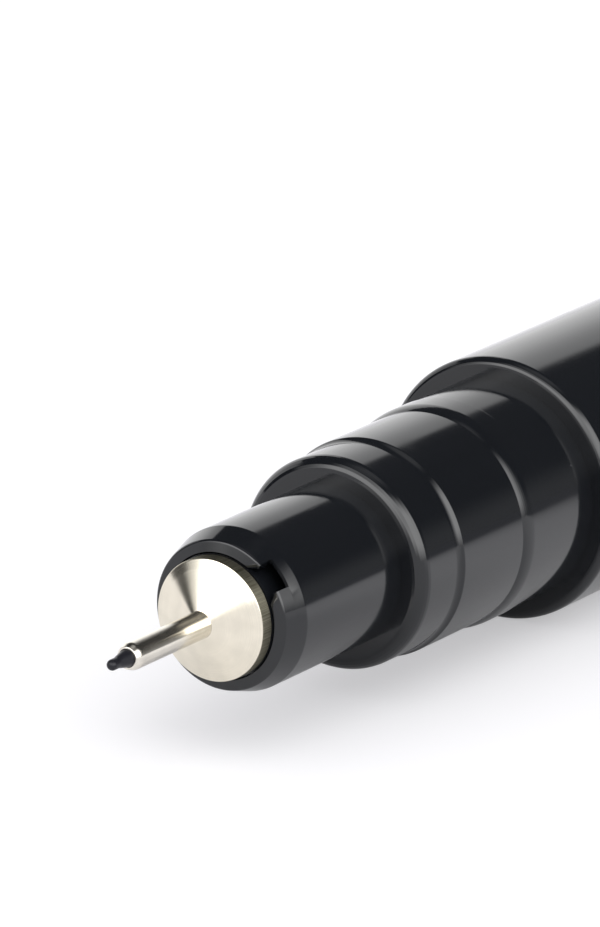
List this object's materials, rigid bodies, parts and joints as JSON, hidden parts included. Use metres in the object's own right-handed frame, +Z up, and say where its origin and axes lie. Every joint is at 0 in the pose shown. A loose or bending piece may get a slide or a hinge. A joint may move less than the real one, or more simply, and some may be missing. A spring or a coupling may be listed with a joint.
{
  "type": "fineliner pen",
  "caption": "Fineliner pen lying uncapped: stepped black nose with a turned metal nib holder and thin nib tube, plain round barrel, and a clip cap pushed on the tail.",
  "frame": {"origin": "on the pen's axis, halfway along the barrel", "axes": "+X along the pen from the nib to the tail, +Z up from the table that the pen lies on"},
  "size_m": [0.1581, 0.0122, 0.011],
  "materials": {
    "nib_plastic": "black ground nib plastic, matt",
    "tube_steel": "drawn stainless tube, fine lengthwise drawing lines",
    "holder_metal": "turned nickel silver, bright, fine concentric tool marks",
    "section_plastic": "moulded black plastic, glossy",
    "barrel_plastic": "moulded black plastic, glossy",
    "cap_plastic": "moulded black plastic, glossy",
    "seal_plastic": "soft natural plastic, satin",
    "clip_steel": "spring steel, brushed lengthwise",
    "ink_fibre": "ink-soaked polyester fibre",
    "sleeve_film": "thin clear film, satin"
  },
  "bodies": {
    "pen": {"nib": "nib_plastic", "nib_tube": "tube_steel", "nib_holder": "holder_metal", "front_section": "section_plastic", "barrel": "barrel_plastic", "reservoir_core": "ink_fibre", "reservoir_wrap": "sleeve_film", "tail_plug": "section_plastic"},
    "cap": {"cap_shell": "cap_plastic", "cap_inner_seal": "seal_plastic", "cap_clip": "clip_steel", "cap_crown": "cap_plastic"}
  },
  "joints": [
    {"name": "cap_pull", "type": "slide", "parent": "pen", "child": "cap", "axis": [1, 0, 0], "range_m": [0, 0.025]}
  ]
}
